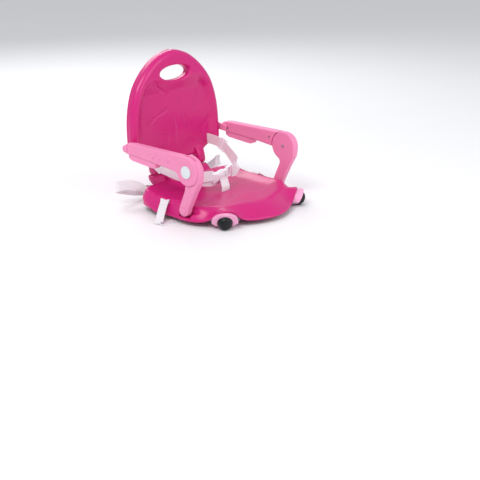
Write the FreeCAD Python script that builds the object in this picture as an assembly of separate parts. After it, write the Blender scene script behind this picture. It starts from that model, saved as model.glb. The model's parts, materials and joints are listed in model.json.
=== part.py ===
import FreeCAD, Part
import math
import os

# Folding booster seat for a small child. Millimetres.
# Frame: +Z up, the child faces -Y, the child's left is +X, feet stand on Z = 0.

V = FreeCAD.Vector
os.makedirs("parts", exist_ok=True)

# ---- driving dimensions -------------------------------------------------
SIDES = (("left", 1), ("right", -1))

# seat shell
SEAT_CENTRE_Y = -25.0
SEAT_SKIN = 3.5
EDGE_Z = 18.0
SIDE_RIDGE_Z = 46.0
FRONT_RIDGE_Z = 41.0
REAR_RIDGE_Z = 54.0
DISH_DEPTH = 8.0
ARCH_RISE = 27.0
ARCH_X = 123.0
ARCH_Y = -132.0
ARCH_REACH = 44.0
LOBE_RISE = 9.0
REAR_EDGE_LIFT = 12.0
SKIRT_SIDE = 24.0
SKIRT_FRONT = 52.0
SKIRT_REAR = 12.0
WALL_BOTTOM_Z = 15.0
PLATE_BOTTOM_Z = 12.0

# backrest, drawn upright and then leaned back about its hinge
HINGE_Y = 145.5
HINGE_Z = 74.0
RECLINE_DEG = 3.0
BACK_FRONT_Y = 132.5
BACK_JOIN_Y = 150.5
BACK_REAR_Y = 158.5
PANEL_DEPTH = 12.0
BACK_WALL = 3.0
LEG_INNER_X = 62.0
LEG_OUTER_X = 84.0
LEG_TOP_Z = 92.0
KNUCKLE_R = 13.0
ROD_R = 4.0
HANDLE_Z = 296.0
HANDLE_HALF_W = 49.0
HANDLE_HALF_H = 18.0
WAIST_SLOT_X = 105.0
WAIST_SLOT_W = 6.0
WAIST_SLOT_LOW = 102.0
WAIST_SLOT_TOP = 135.0

# arms and struts
ARM_INNER_X = 150.0
ARM_SPLIT_X = 161.0
ARM_OUTER_X = 172.0
BUMP_R = 6.5
BUMP_PROUD = 3.0
BUMP_Z = 142.3
STRUT_OUTER_X = 168.0
ARM_REAR = (136.0, 144.0)
ELBOW = (-62.0, 125.0)
STRUT_FOOT = (-45.0, 33.0)
ARM_TOP_Z = 158.0
DISC_R = 32.0
HEAD_R = 35.0
STRUT_FOOT_R = 13.0
FACE_GAP = 0.3
RUN_GAP = 0.05
BUTTON_R = 14.0

# swing-down legs
LEG_SITES = (
    ("front_left", 127.0, -134.0, -45.0),
    ("front_right", -127.0, -134.0, -135.0),
    ("rear_left", 122.0, 84.0, 45.0),
    ("rear_right", -122.0, 84.0, 135.0),
)
FOOT_R = 17.0
FOOT_CENTRE_Z = 16.3
FOOT_TILT_DEG = 27.0
LEG_HALF_W = 29.0
LEG_HINGE_U = -62.0
LEG_HINGE_Z = 21.0
LEG_KNUCKLE_R = 10.0
LEG_PIN_R = 3.0
CHEEK_T = 3.5

WEB_T = 1.6
WEB_W = 25.0

# half outline of the seat shell in plan, front centre to rear centre
SEAT_HALF = (
    (0, -177), (40, -170), (80, -152), (123, -132), (150, -95), (164, -60), (165, 0),
    (163, 75), (150, 108), (120, 122), (60, 124), (0, 124),
)
# half outline of the backrest, lower corner to top centre
BACK_HALF = (
    (86, 86), (92, 94), (104, 101), (122, 109), (136, 117), (142, 130), (143.5, 152), (142, 190),
    (138, 218), (130.5, 246), (119, 272), (100, 297), (75, 320), (48, 337), (20, 346.5), (0, 349.5),
)
# half outline of the sunk panel, lower corner to top centre
PANEL_HALF = (
    (62, 86), (80, 98), (98, 114), (108, 134), (110, 160), (105, 209), (97, 240), (80, 260),
    (50, 270), (0, 272),
)


# ---- helpers ------------------------------------------------------------
def box(x0, x1, y0, y1, z0, z1):
    return Part.makeBox(x1 - x0, y1 - y0, z1 - z0, V(x0, y0, z0))


def box_x(side, x0, x1, y0, y1, z0, z1):
    """A box given for the +X side, moved to -X when side is -1."""
    return box(min(side * x0, side * x1), max(side * x0, side * x1), y0, y1, z0, z1)


def rod_x(side, x0, x1, centre, r):
    """A cylinder along X between |x| = x0 and x1, centred on (y, z)."""
    start = min(side * x0, side * x1)
    return Part.makeCylinder(r, x1 - x0, V(start, centre[0], centre[1]), V(1, 0, 0))


def slab_x(side, x0, x1, outline):
    """A plate whose (y, z) outline is drawn by straight lines."""
    points = [V(0, y, z) for y, z in outline]
    face = Part.Face(Part.makePolygon(points + points[:1]))
    solid = face.extrude(V(x1 - x0, 0, 0))
    solid.translate(V(min(side * x0, side * x1), 0, 0))
    return solid


def disc_x(centre, r):
    """A thin round slice at X = 0, used to build a side outline."""
    return Part.makeCylinder(r, 1, V(0, centre[0], centre[1]), V(1, 0, 0))


def soft_slab(side, x0, x1, slices, corner=5.0, hollow=10.0):
    """A plate along X whose side outline joins the slices, with its corners rounded."""
    joined = fused(slices) if len(slices) > 1 else slices[0]
    flat = [f for f in joined.Faces if f.BoundBox.XMax < 0.01]
    wire = max(flat, key=lambda f: f.Area).OuterWire
    wire = wire.makeOffset2D(hollow, 0)
    wire = wire.makeOffset2D(-hollow - corner, 0)
    wire = wire.makeOffset2D(corner, 0)
    solid = Part.Face(wire).extrude(V(x1 - x0, 0, 0))
    solid.translate(V(min(side * x0, side * x1), 0, 0))
    return solid


def round_face_edges(solid, x, r):
    """Round every edge that lies wholly in the plane X = x."""
    picked = [
        e for e in solid.Edges if abs(e.BoundBox.XMin - x) < 0.01 and abs(e.BoundBox.XMax - x) < 0.01
    ]
    return solid.makeFillet(r, picked)


def spline(points):
    curve = Part.BSplineCurve()
    curve.interpolate(points)
    return curve.toShape()


def clamp(value, low=0.0, high=1.0):
    return max(low, min(high, value))


def smooth(value):
    t = clamp(value)
    return t * t * (3 - 2 * t)


def write(name, shape):
    shape.exportStep("parts/" + name + ".step")


def fused(shapes):
    return shapes[0].multiFuse(shapes[1:]).removeSplitter()


# ---- seat shell ---------------------------------------------------------
def bearing(x, y):
    """Angle about the seat's centre, 0 at the front and 180 at the rear, the same on both sides."""
    return math.degrees(math.atan2(abs(x), -(y - SEAT_CENTRE_Y)))


RIM_TABLE = [(bearing(x, y), math.hypot(x, y - SEAT_CENTRE_Y)) for x, y in SEAT_HALF]


def rim_radius(angle):
    """Distance from the seat's centre to its outline in the direction of the bearing."""
    last = len(RIM_TABLE) - 1
    i = max(k for k in range(last) if RIM_TABLE[k][0] <= angle or k == 0)
    (a0, r0), (a1, r1) = RIM_TABLE[i], RIM_TABLE[i + 1]
    a_before, r_before = RIM_TABLE[i - 1] if i > 0 else (-a1, r1)
    a_after, r_after = RIM_TABLE[i + 2] if i + 2 <= last else (360 - a0, r0)
    t = (angle - a0) / (a1 - a0)
    slope0 = (r1 - r_before) / (a1 - a_before) * (a1 - a0)
    slope1 = (r_after - r0) / (a_after - a0) * (a1 - a0)
    ease = t * t * (3 - 2 * t)
    return r0 + (r1 - r0) * ease + slope0 * t * (1 - t) ** 2 - slope1 * t * t * (1 - t)


def seat_height(x, y):
    """Top surface of the seat shell: a skirt, a rounded ridge and a dished middle."""
    inset = rim_radius(bearing(x, y)) - math.hypot(x, y - SEAT_CENTRE_Y)
    from_arch = math.hypot(abs(x) - ARCH_X, y - ARCH_Y) / ARCH_REACH
    arch = ARCH_RISE * math.exp(-(from_arch ** 2))
    rear = smooth((y - 40) / 70)
    front = smooth((-y - 60) / 90)
    edge = EDGE_Z + arch + REAR_EDGE_LIFT * rear
    ridge = SIDE_RIDGE_Z + (REAR_RIDGE_Z - SIDE_RIDGE_Z) * rear
    ridge += (FRONT_RIDGE_Z - SIDE_RIDGE_Z) * front
    skirt = SKIRT_SIDE + (SKIRT_FRONT - SKIRT_SIDE) * front + (SKIRT_REAR - SKIRT_SIDE) * rear
    rise = math.sin(math.pi / 2 * clamp(inset / skirt))
    dish = DISH_DEPTH * smooth((inset - skirt) / 35) * smooth((y + 95) / 30)
    return edge + max(ridge - edge, LOBE_RISE) * rise - dish


def seat_surface():
    columns = 36
    rows = 36
    grid = []
    for i in range(columns + 1):
        x = -172 + 344 * i / columns
        ys = [-182 + 312 * j / rows for j in range(rows + 1)]
        grid.append([V(x, y, seat_height(x, y)) for y in ys])
    surface = Part.BSplineSurface()
    surface.interpolate(grid)
    return surface.toShape()


def seat_prism(inset, z0, z1):
    """The seat's plan outline, drawn in by inset, as an upright block."""
    half = []
    for x, y in SEAT_HALF:
        reach = math.hypot(x, y - SEAT_CENTRE_Y)
        scale = (reach - inset) / reach
        half.append(V(x * scale, SEAT_CENTRE_Y + (y - SEAT_CENTRE_Y) * scale, z0))
    other = [V(-p.x, p.y, p.z) for p in half[1:-1]]
    curve = Part.BSplineCurve()
    curve.interpolate(half + other[::-1], PeriodicFlag=True)
    return Part.Face(Part.Wire(curve.toShape())).extrude(V(0, 0, z1 - z0))


def boss_sites():
    return [(s * x, y) for s in (1, -1) for x, y in ((46, -148), (112, -28), (60, 96), (138, 104))]


def make_seat_shell():
    top = seat_surface()
    skin = top.extrude(V(0, 0, -SEAT_SKIN)).common(seat_prism(0, 0, 90))
    top.translate(V(0, 0, -SEAT_SKIN / 2))
    under = top.extrude(V(0, 0, -60))
    ring = seat_prism(0.4, WALL_BOTTOM_Z, 90).cut(seat_prism(3, WALL_BOTTOM_Z - 1, 91))
    ring = ring.common(box(-175, 175, 60, 130, WALL_BOTTOM_Z, 90)).common(under)
    pieces = [skin, ring]
    for side in (1, -1):
        pieces.append(box_x(side, 145, 148, -93, -11, WALL_BOTTOM_Z, 60).common(under))
        pieces.append(box_x(side, 145, 162, -93, -90, WALL_BOTTOM_Z, 60).common(under))
        pieces.append(box_x(side, 145, 163, -14, -11, WALL_BOTTOM_Z, 60).common(under))
        pieces.append(box_x(side, 145, 162, -93, -11, WALL_BOTTOM_Z, WALL_BOTTOM_Z + 2.5))
        pieces.append(rod_x(side, 130, 146, STRUT_FOOT, 8.0))
    for x, y in boss_sites():
        boss = Part.makeCylinder(5, 60, V(x, y, WALL_BOTTOM_Z))
        pieces.append(boss.common(under))
    upstand = [
        (106, 50), (120, 61), (132, 68), (160, 68), (160, 42), (121.5, 42), (121.5, 48), (106, 48),
    ]
    pieces.append(slab_x(1, -58, 58, upstand))
    pieces.append(rod_x(1, -58, 58, (HINGE_Y, HINGE_Z), 9.0))
    shell = fused(pieces)
    tools = []
    for side in (1, -1):
        tools.append(box_x(side, 148, 180, -90, -14, WALL_BOTTOM_Z + 2.5, 70))
        tools.append(rod_x(side, 128, 150, STRUT_FOOT, 4.0))
        tools.append(box_x(side, 149.5, 154, 13, 40, 25, 60))
        tools.append(box_x(side, 96, 124, 118, 126, 28, 32.5))
    for x, y in boss_sites():
        tools.append(Part.makeCylinder(1.5, 14, V(x, y, WALL_BOTTOM_Z - 1)))
    tools.append(rod_x(1, -59, 59, (HINGE_Y, HINGE_Z), ROD_R))
    tools.append(box(-54, 54, 124, 157, 41, 62))
    tools.append(box(-8, 20, -12.5, -7.5, 20, 60))
    shell = shell.cut(Part.makeCompound(tools))
    write("seat_shell", shell)


# ---- legs ---------------------------------------------------------------
def place_leg(shape, site):
    """Turn a piece drawn along +X, with its foot at the origin, to its corner."""
    _, x, y, angle = site
    moved = shape.copy()
    moved.rotate(V(0, 0, 0), V(0, 0, 1), angle)
    moved.translate(V(x, y, 0))
    return moved


def across(r, half):
    """A cylinder along the leg's own hinge line."""
    return Part.makeCylinder(r, 2 * half, V(LEG_HINGE_U, -half, LEG_HINGE_Z), V(0, 1, 0))


def tilted(shape):
    """Tip a piece drawn about +X down to the foot's slant."""
    moved = shape.copy()
    moved.rotate(V(0, 0, 0), V(0, 1, 0), FOOT_TILT_DEG)
    moved.translate(V(0, 0, FOOT_CENTRE_Z))
    return moved


def leg_body():
    side = [(LEG_HINGE_U, 11), (-20, 8), (-4, 8), (11, 38), (-10, 38), (-22, 32), (LEG_HINGE_U, 28)]
    points = [V(u, -LEG_HALF_W, z) for u, z in side]
    block = Part.Face(Part.makePolygon(points + points[:1])).extrude(V(0, 2 * LEG_HALF_W, 0))
    arch = Part.makeCylinder(LEG_HALF_W, 90, V(-75, 0, 0), V(1, 0, 0))
    squash = FreeCAD.Matrix()
    squash.A33 = 18.5 / LEG_HALF_W
    arch = arch.transformGeometry(squash)
    arch.translate(V(0, 0, 18.5))
    section = arch.fuse(box(-75, 15, -LEG_HALF_W, LEG_HALF_W, 6, 18.5))
    body = block.common(section).fuse(across(LEG_KNUCKLE_R, LEG_HALF_W))
    corner = ((LEG_HALF_W + 1, 4), (LEG_HALF_W + 1, 15), (15, 4))
    for sign in (1, -1):
        points = [V(-48, sign * v, z) for v, z in corner]
        body = body.cut(Part.Face(Part.makePolygon(points + points[:1])).extrude(V(70, 0, 0)))
    spigot = tilted(Part.makeCylinder(11, 12, V(-4, 0, 0), V(1, 0, 0)))
    body = body.fuse(spigot).removeSplitter()
    hollow = box(LEG_HINGE_U + 14, -14, -20, 20, 5, 26)
    hollow = hollow.cut(box(-45, -25, -12, 12, 4, 27))
    well = Part.makeCylinder(7.2, 11, V(-35, 0, 5))
    return body.cut(across(LEG_PIN_R + RUN_GAP, LEG_HALF_W + 1)).cut(hollow).cut(well)


def foot_body():
    dome = Part.makeSphere(FOOT_R)
    dome = dome.common(box(0, 20, -20, 20, -20, 20))
    flatten = FreeCAD.Matrix()
    flatten.A11 = 15.0 / FOOT_R
    dome = dome.transformGeometry(flatten)
    collar = Part.makeCylinder(FOOT_R, 0.4, V(-0.4, 0, 0), V(1, 0, 0))
    cap = tilted(dome.fuse(collar).removeSplitter())
    socket = tilted(Part.makeCylinder(11, 13, V(-5, 0, 0), V(1, 0, 0)))
    return cap.cut(socket).common(box(-40, 40, -40, 40, 0, 60)).cut(leg_body())


def bracket_body():
    profile = [(-78, 15), (-22, 13), (-22, 22), (-50, 30), (-78, 30)]
    pieces = []
    for v0 in (LEG_HALF_W + 0.7, -LEG_HALF_W - 0.7 - CHEEK_T):
        points = [V(u, v0, z) for u, z in profile]
        pieces.append(Part.Face(Part.makePolygon(points + points[:1])).extrude(V(0, CHEEK_T, 0)))
    half = LEG_HALF_W + 0.7 + CHEEK_T
    pieces.append(box(-78, -74, -half, half, 15, 30))
    return fused(pieces).cut(across(LEG_PIN_R, half + 1))


def leg_button_body():
    cap = Part.makeCylinder(6.9, 4.5, V(-35, 0, 7))
    stem = Part.makeCylinder(3, 1.3, V(-35, 0, 11.5))
    return cap.fuse(stem).removeSplitter()


def make_legs():
    pins = []
    for site in LEG_SITES:
        name = site[0]
        write("leg_" + name, place_leg(leg_body(), site))
        write("foot_" + name, place_leg(foot_body(), site))
        write("leg_bracket_" + name, place_leg(bracket_body(), site))
        write("leg_button_" + name, place_leg(leg_button_body(), site))
        pins.append(place_leg(across(LEG_PIN_R, LEG_HALF_W + 0.7 + CHEEK_T), site))
    write("leg_hinge_pins", Part.makeCompound(pins))


# ---- base plate and screws ----------------------------------------------
def make_base():
    plate = seat_prism(14, PLATE_BOTTOM_Z, WALL_BOTTOM_Z)
    bay = box(-79, 60, -LEG_HALF_W - 5, LEG_HALF_W + 5, 5, 40)
    for site in LEG_SITES:
        plate = plate.cut(place_leg(bay, site))
    screws = []
    for x, y in boss_sites():
        plate = plate.cut(Part.makeCylinder(1.7, 10, V(x, y, 8)))
        shank = Part.makeCylinder(1.45, 14, V(x, y, PLATE_BOTTOM_Z - 1))
        head = Part.makeCylinder(3.2, 1.9, V(x, y, PLATE_BOTTOM_Z - 1.9))
        screws.append(shank.fuse(head).removeSplitter())
    for x in (-90, 90):
        plate = plate.cut(box(x - 3, x + 3, -40, -20, 8, 20))
    plate = plate.cut(box(-8, 20, -16, -4, 8, 20))
    write("base_plate", plate)
    write("base_screws", Part.makeCompound(screws))


# ---- backrest -----------------------------------------------------------
def leaned(shape):
    moved = shape.copy()
    moved.rotate(V(0, HINGE_Y, HINGE_Z), V(1, 0, 0), -RECLINE_DEG)
    return moved


def upright(shape):
    """The opposite turn of leaned, for a piece whose final place is known."""
    moved = shape.copy()
    moved.rotate(V(0, HINGE_Y, HINGE_Z), V(1, 0, 0), RECLINE_DEG)
    return moved


def arch_prism(half, inset, y0, y1):
    """A round-topped outline, closed by a straight foot, as a block along Y."""
    middle = 190.0
    points = []
    for x, z in half:
        reach = math.hypot(x, z - middle)
        scale = (reach - inset) / reach
        points.append(V(x * scale, y0, middle + (z - middle) * scale))
    other = [V(-p.x, p.y, p.z) for p in points[:-1]]
    edge = spline(points + other[::-1])
    foot = Part.makeLine(V(-points[0].x, y0, points[0].z), points[0])
    return Part.Face(Part.Wire([edge, foot])).extrude(V(0, y1 - y0, 0))


def handle_oval(grow, y0, y1):
    disc = Part.makeCylinder(1, y1 - y0, V(0, 0, 0), V(0, 1, 0))
    stretch = FreeCAD.Matrix()
    stretch.A11 = HANDLE_HALF_W + grow
    stretch.A33 = HANDLE_HALF_H + grow
    oval = disc.transformGeometry(stretch)
    oval.translate(V(0, y0, HANDLE_Z))
    return oval


def back_leg(side):
    """One leg of the backrest, ending in a round hinge knuckle."""
    low = V(0, HINGE_Y, HINGE_Z - KNUCKLE_R)
    front_foot = V(0, BACK_FRONT_Y, HINGE_Z)
    rear_foot = V(0, BACK_REAR_Y, HINGE_Z)
    front_top = V(0, BACK_FRONT_Y, LEG_TOP_Z)
    rear_top = V(0, BACK_REAR_Y, LEG_TOP_Z)
    edges = [
        Part.makeLine(front_top, front_foot),
        Part.Arc(front_foot, low, rear_foot).toShape(),
        Part.makeLine(rear_foot, rear_top),
        Part.makeLine(rear_top, front_top),
    ]
    leg = Part.Face(Part.Wire(edges)).extrude(V(LEG_OUTER_X - LEG_INNER_X, 0, 0))
    leg.translate(V(min(side * LEG_INNER_X, side * LEG_OUTER_X), 0, 0))
    return leg


def back_screw_sites():
    return [(s * x, z) for s in (1, -1) for x, z in ((126, 150), (112, 262), (72, 104))]


def waist_slot(side, y0, y1):
    x0 = WAIST_SLOT_X - WAIST_SLOT_W / 2
    return box_x(side, x0, x0 + WAIST_SLOT_W, y0, y1, WAIST_SLOT_LOW, WAIST_SLOT_TOP)


def make_backrest():
    front = arch_prism(BACK_HALF, 0, BACK_FRONT_Y, BACK_JOIN_Y)
    rim = [e for e in front.Edges if e.BoundBox.YMax < BACK_FRONT_Y + 0.01 and e.Length > 300]
    front = front.makeFillet(7.0, rim)
    panel_y = BACK_FRONT_Y + PANEL_DEPTH
    front = front.cut(arch_prism(PANEL_HALF, 0, BACK_FRONT_Y - 1, panel_y))
    cavity = arch_prism(BACK_HALF, BACK_WALL, BACK_FRONT_Y + BACK_WALL, BACK_JOIN_Y + 1)
    cavity = cavity.cut(arch_prism(PANEL_HALF, -BACK_WALL, BACK_FRONT_Y, panel_y + BACK_WALL))
    cavity = cavity.cut(handle_oval(BACK_WALL, BACK_FRONT_Y, BACK_REAR_Y))
    cavity = cavity.cut(box(-95, 95, 120, 160, 84, 90))
    front = front.cut(cavity)
    extras = [back_leg(1), back_leg(-1)]
    for x, z in back_screw_sites():
        extras.append(Part.makeCylinder(4.5, 14, V(x, BACK_FRONT_Y + 3.5, z), V(0, 1, 0)))
    for side in (1, -1):
        extras.append(upright(rod_x(side, 132, ARM_INNER_X - 0.4, ARM_REAR, 12.0)))
    front = fused([front] + extras)
    tools = [handle_oval(0, BACK_FRONT_Y - 5, BACK_REAR_Y)]
    for side in (1, -1):
        tools.append(rod_x(side, LEG_INNER_X - 1, LEG_OUTER_X - 4, (HINGE_Y, HINGE_Z), ROD_R + RUN_GAP))
        tools.append(waist_slot(side, 120, 152))
    for x, z in back_screw_sites():
        tools.append(Part.makeCylinder(1.5, 10, V(x, BACK_JOIN_Y - 9, z), V(0, 1, 0)))
    front = leaned(front.cut(Part.makeCompound(tools)))
    write("backrest_shell", front)

    cover = arch_prism(BACK_HALF, 0.6, BACK_JOIN_Y, BACK_REAR_Y)
    inner = arch_prism(BACK_HALF, 0.6 + BACK_WALL, BACK_JOIN_Y - 1, BACK_REAR_Y - BACK_WALL)
    inner = inner.cut(handle_oval(BACK_WALL, BACK_JOIN_Y - 1, BACK_REAR_Y))
    cover = cover.cut(inner).cut(handle_oval(0, BACK_JOIN_Y - 1, BACK_REAR_Y + 1))
    for side in (1, -1):
        cover = cover.cut(box_x(side, 61, LEG_OUTER_X + 1, 140, 170, 60, 93))
        cover = cover.cut(waist_slot(side, 140, 170))
    screws = []
    for x, z in back_screw_sites():
        tower = Part.makeCylinder(4.5, BACK_REAR_Y - BACK_JOIN_Y, V(x, BACK_JOIN_Y, z), V(0, 1, 0))
        sink = Part.makeCylinder(3.4, 3, V(x, BACK_REAR_Y - 2, z), V(0, 1, 0))
        hole = Part.makeCylinder(1.7, 14, V(x, BACK_JOIN_Y - 1, z), V(0, 1, 0))
        cover = cover.fuse(tower).cut(sink).cut(hole)
        shank = Part.makeCylinder(1.45, 13, V(x, BACK_REAR_Y - 15, z), V(0, 1, 0))
        head = Part.makeCylinder(3.2, 1.6, V(x, BACK_REAR_Y - 2, z), V(0, 1, 0))
        screws.append(leaned(shank.fuse(head).removeSplitter()))
    write("backrest_cover", leaned(cover.removeSplitter()))
    write("backrest_screws", Part.makeCompound(screws))
    write("backrest_hinge_rod", rod_x(1, -79, 79, (HINGE_Y, HINGE_Z), ROD_R))


# ---- arms and struts ----------------------------------------------------
def arm_outline(grow=0.0):
    top = ARM_TOP_Z + grow
    return [
        (-62, 125), (-88, 145), (-66, top - 1), (-40, top), (118, top), (134 + grow, 156 + grow),
        (146 + grow, 147 + grow), (145 + grow, 138 - grow), (132, 131 - grow), (112, 131 - grow),
        (20, 124.5 - grow), (-28, 119 - grow), (-42, 108),
    ]


def make_arm(name, side):
    split = ARM_SPLIT_X
    slices = [slab_x(1, 0, 1, arm_outline()), disc_x(ELBOW, DISC_R)]
    outer = soft_slab(side, split, ARM_OUTER_X, slices)
    outer = round_face_edges(outer, side * ARM_OUTER_X, 4.5)
    outer = outer.cut(rod_x(side, split - 1, split + FACE_GAP, ELBOW, DISC_R + 6))
    outer = outer.cut(rod_x(side, 164, 180, ELBOW, BUTTON_R + 0.3))
    outer = outer.cut(rod_x(side, 150, 170, ELBOW, 3 + RUN_GAP))
    outer = outer.cut(box_x(side, split - 1, 169, 20, 108, 136, 152))
    outer = outer.cut(rod_x(side, 150, 176, ARM_REAR, 4.0))
    for y in (44, 22, -6):
        centre_x = side * (ARM_OUTER_X + BUMP_PROUD - BUMP_R)
        bump = Part.makeSphere(BUMP_R, V(centre_x, y, BUMP_Z))
        bump = bump.common(box_x(side, ARM_OUTER_X - 1, 190, y - 9, y + 9, 130, 155))
        outer = outer.fuse(bump)
    for y in (119, -19):
        outer = outer.cut(rod_x(side, split - 1, 168, (y, 141), 1.5))
    write("arm_outer_" + name, outer.removeSplitter())

    inner = soft_slab(side, ARM_INNER_X, split, slices)
    inner = round_face_edges(inner, side * ARM_INNER_X, 4.5)
    inner = inner.cut(rod_x(side, ARM_INNER_X - 1, split + 1, ELBOW, HEAD_R + 0.6))
    inner = inner.cut(box_x(side, ARM_INNER_X + 3, split + 1, 20, 108, 136, 152))
    inner = inner.cut(rod_x(side, 149, 176, ARM_REAR, 4.0))
    screws = []
    for y in (119, -19):
        inner = inner.cut(rod_x(side, ARM_INNER_X - 1, split + 1, (y, 141), 1.7))
        inner = inner.cut(rod_x(side, ARM_INNER_X - 1, ARM_INNER_X + 2, (y, 141), 3.0))
        head = rod_x(side, ARM_INNER_X + 0.4, ARM_INNER_X + 2, (y, 141), 2.8)
        screws.append(head.fuse(rod_x(side, ARM_INNER_X + 1, 166, (y, 141), 1.45)).removeSplitter())
    write("arm_inner_" + name, largest(inner.removeSplitter()))
    write("arm_screws_" + name, Part.makeCompound(screws))

    shank = rod_x(side, ARM_INNER_X + 0.3, ARM_OUTER_X, ARM_REAR, 4.0)
    head = rod_x(side, ARM_OUTER_X, ARM_OUTER_X + 2.2, ARM_REAR, 8.5)
    head = round_face_edges(head, side * (ARM_OUTER_X + 2.2), 1.6)
    write("arm_pivot_" + name, shank.fuse(head).removeSplitter())

    rail = slab_x(
        side, 153, 169,
        [
            (128, 130.9), (112, 130.9), (38, 125.8), (38, 117),
            (43, 113.5), (54, 113.5), (118, 119), (128, 124),
        ],
    )
    rail = rail.cut(slab_x(side, 158, 164, [(120, 127.5), (50, 122), (50, 113), (120, 113)]))
    write("tray_rail_" + name, rail)


def largest(shape):
    return max(shape.Solids, key=lambda s: s.Volume)


def strut_outline():
    return [
        (-45.0, 20.5), (-55.0, 23.5), (-60.0, 38.0), (-79.5, 77.0), (-95.0, 104.0), (-97.0, 122.0),
        (-62.0, 125.0), (-55.0, 96.0), (-50.5, 79.0), (-34.0, 42.0), (-33.0, 33.0),
    ]


def make_strut(name, side):
    split = ARM_SPLIT_X
    slices = [slab_x(1, 0, 1, strut_outline()), disc_x(STRUT_FOOT, STRUT_FOOT_R), disc_x(ELBOW, HEAD_R)]
    body = soft_slab(side, ARM_INNER_X, STRUT_OUTER_X, slices)
    body = round_face_edges(body, side * ARM_INNER_X, 4.0)
    body = round_face_edges(body, side * STRUT_OUTER_X, 4.0)
    half_in = box_x(side, 140, split - 0.1, -130, 10, 0, 200)
    half_out = box_x(side, split - 0.1, 180, -130, 10, 0, 200)
    inner = body.common(half_in)
    outer = body.common(half_out).cut(rod_x(side, 150, 180, ELBOW, DISC_R + 0.5))
    arm_sweep = [(-84, 152), (-62, 125), (-54, 86), (-30, 92), (-20, 108), (-20, 170), (-84, 170)]
    swing = slab_x(side, split - 1, 180, arm_sweep)
    outer = outer.cut(swing)
    bore = rod_x(side, 140, 180, STRUT_FOOT, 4.0 + RUN_GAP)
    inner = inner.cut(bore).cut(rod_x(side, 140, 180, ELBOW, 3.0))
    inner = inner.cut(rod_x(side, 149, ARM_INNER_X + 2, ELBOW, 4.2))
    outer = outer.cut(rod_x(side, 140, STRUT_OUTER_X - 1.5, STRUT_FOOT, 4.0 + RUN_GAP))
    boss = rod_x(side, STRUT_OUTER_X - 0.5, STRUT_OUTER_X + 1.6, STRUT_FOOT, 8.5)
    outer = outer.fuse(round_face_edges(boss, side * (STRUT_OUTER_X + 1.6), 1.2))
    write("strut_inner_" + name, largest(inner))
    write("strut_outer_" + name, largest(outer.removeSplitter()))
    head = rod_x(side, ARM_INNER_X + 0.4, ARM_INNER_X + 2, ELBOW, 4.0)
    pin = rod_x(side, ARM_INNER_X + 1, 163.8, ELBOW, 3.0)
    write("elbow_pin_" + name, head.fuse(pin).removeSplitter())
    write("strut_pin_" + name, rod_x(side, 130, STRUT_OUTER_X - 2, STRUT_FOOT, 4.0))


def make_button(name, side):
    skirt = rod_x(side, 168.4, 174.0, ELBOW, BUTTON_R)
    dome = Part.makeSphere(34.0, V(side * (176.4 - 34.0), ELBOW[0], ELBOW[1]))
    dome = dome.common(rod_x(side, 174.0, 180.0, ELBOW, BUTTON_R))
    write("elbow_button_" + name, skirt.fuse(dome).removeSplitter())
    spring = rod_x(side, 164.2, 168.2, ELBOW, 11).cut(rod_x(side, 164, 169, ELBOW, 8))
    write("button_spring_" + name, spring)


# ---- webbing ------------------------------------------------------------
def webbing(stations, width=WEB_W, thickness=WEB_T):
    """A flat strap through stations of (centre, direction across the strap)."""
    centres = [V(*c) for c, _ in stations]
    wires = []
    for i, (_, across_dir) in enumerate(stations):
        ahead = centres[min(i + 1, len(centres) - 1)].sub(centres[max(i - 1, 0)])
        wide = V(*across_dir)
        wide.normalize()
        thin = ahead.cross(wide)
        thin.normalize()
        w = V(wide.x, wide.y, wide.z).multiply(width / 2)
        t = V(thin.x, thin.y, thin.z).multiply(thickness / 2)
        corners = [centres[i] + w + t, centres[i] - w + t, centres[i] - w - t, centres[i] + w - t]
        wires.append(Part.makePolygon(corners + corners[:1]))
    return Part.makeLoft(wires, True, True)


def waist_route(side):
    """From the backrest slot round to the buckle."""
    up = (0, 0, 1)
    if side > 0:
        return [
            ((105, 149, 119), up), ((105, 130, 118.5), up), ((104, 92, 112), (0.1, 0.35, 1)),
            ((96, 52, 90), (0.2, 0.5, 1)), ((84, 24, 72), (0.3, 0.3, 1)), ((66, 12, 68), up),
            ((50, 9, 68), up),
        ]
    return [
        ((-105, 149, 119), up), ((-105, 130, 117), up), ((-104, 100, 97), (0, 0.3, 1)),
        ((-96, 55, 83), (0, 0.2, 1)), ((-80, 25, 76), up), ((-50, 10, 72), up), ((-16, 8, 70), up),
    ]


def make_harness():
    buckle = box(-16, 26, 3.5, 12.5, 55, 85)
    buckle = buckle.makeFillet(2.5, buckle.Edges)
    tongue = box(26.2, 50, 4.5, 11.5, 57, 83)
    tongue = tongue.makeFillet(2.0, tongue.Edges)
    write("harness_buckle", buckle)
    write("harness_tongue", tongue)
    for name, side in SIDES:
        route = waist_route(side)
        strap = webbing(route)
        centre = V(*route[2][0])
        slider = Part.makeBox(5, 14, 31, V(-2.5, -7, -15.5))
        slider.rotate(V(0, 0, 0), V(1, 0, 0), 8 if side > 0 else 14)
        slider.translate(centre)
        write("waist_slider_" + name, slider)
        strap = strap.cut(slider).cut(buckle).cut(tongue)
        write("waist_strap_" + name, strap)
    crotch = webbing(
        [
            ((6, -10, 13.2), (1, 0, 0)), ((6, -10, 42), (1, 0, 0)),
            ((10, -2, 52), (1, 0, 0)), ((12, 1, 70), (1, 0, 0)),
        ],
    )
    write("crotch_strap", crotch.cut(buckle))


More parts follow.
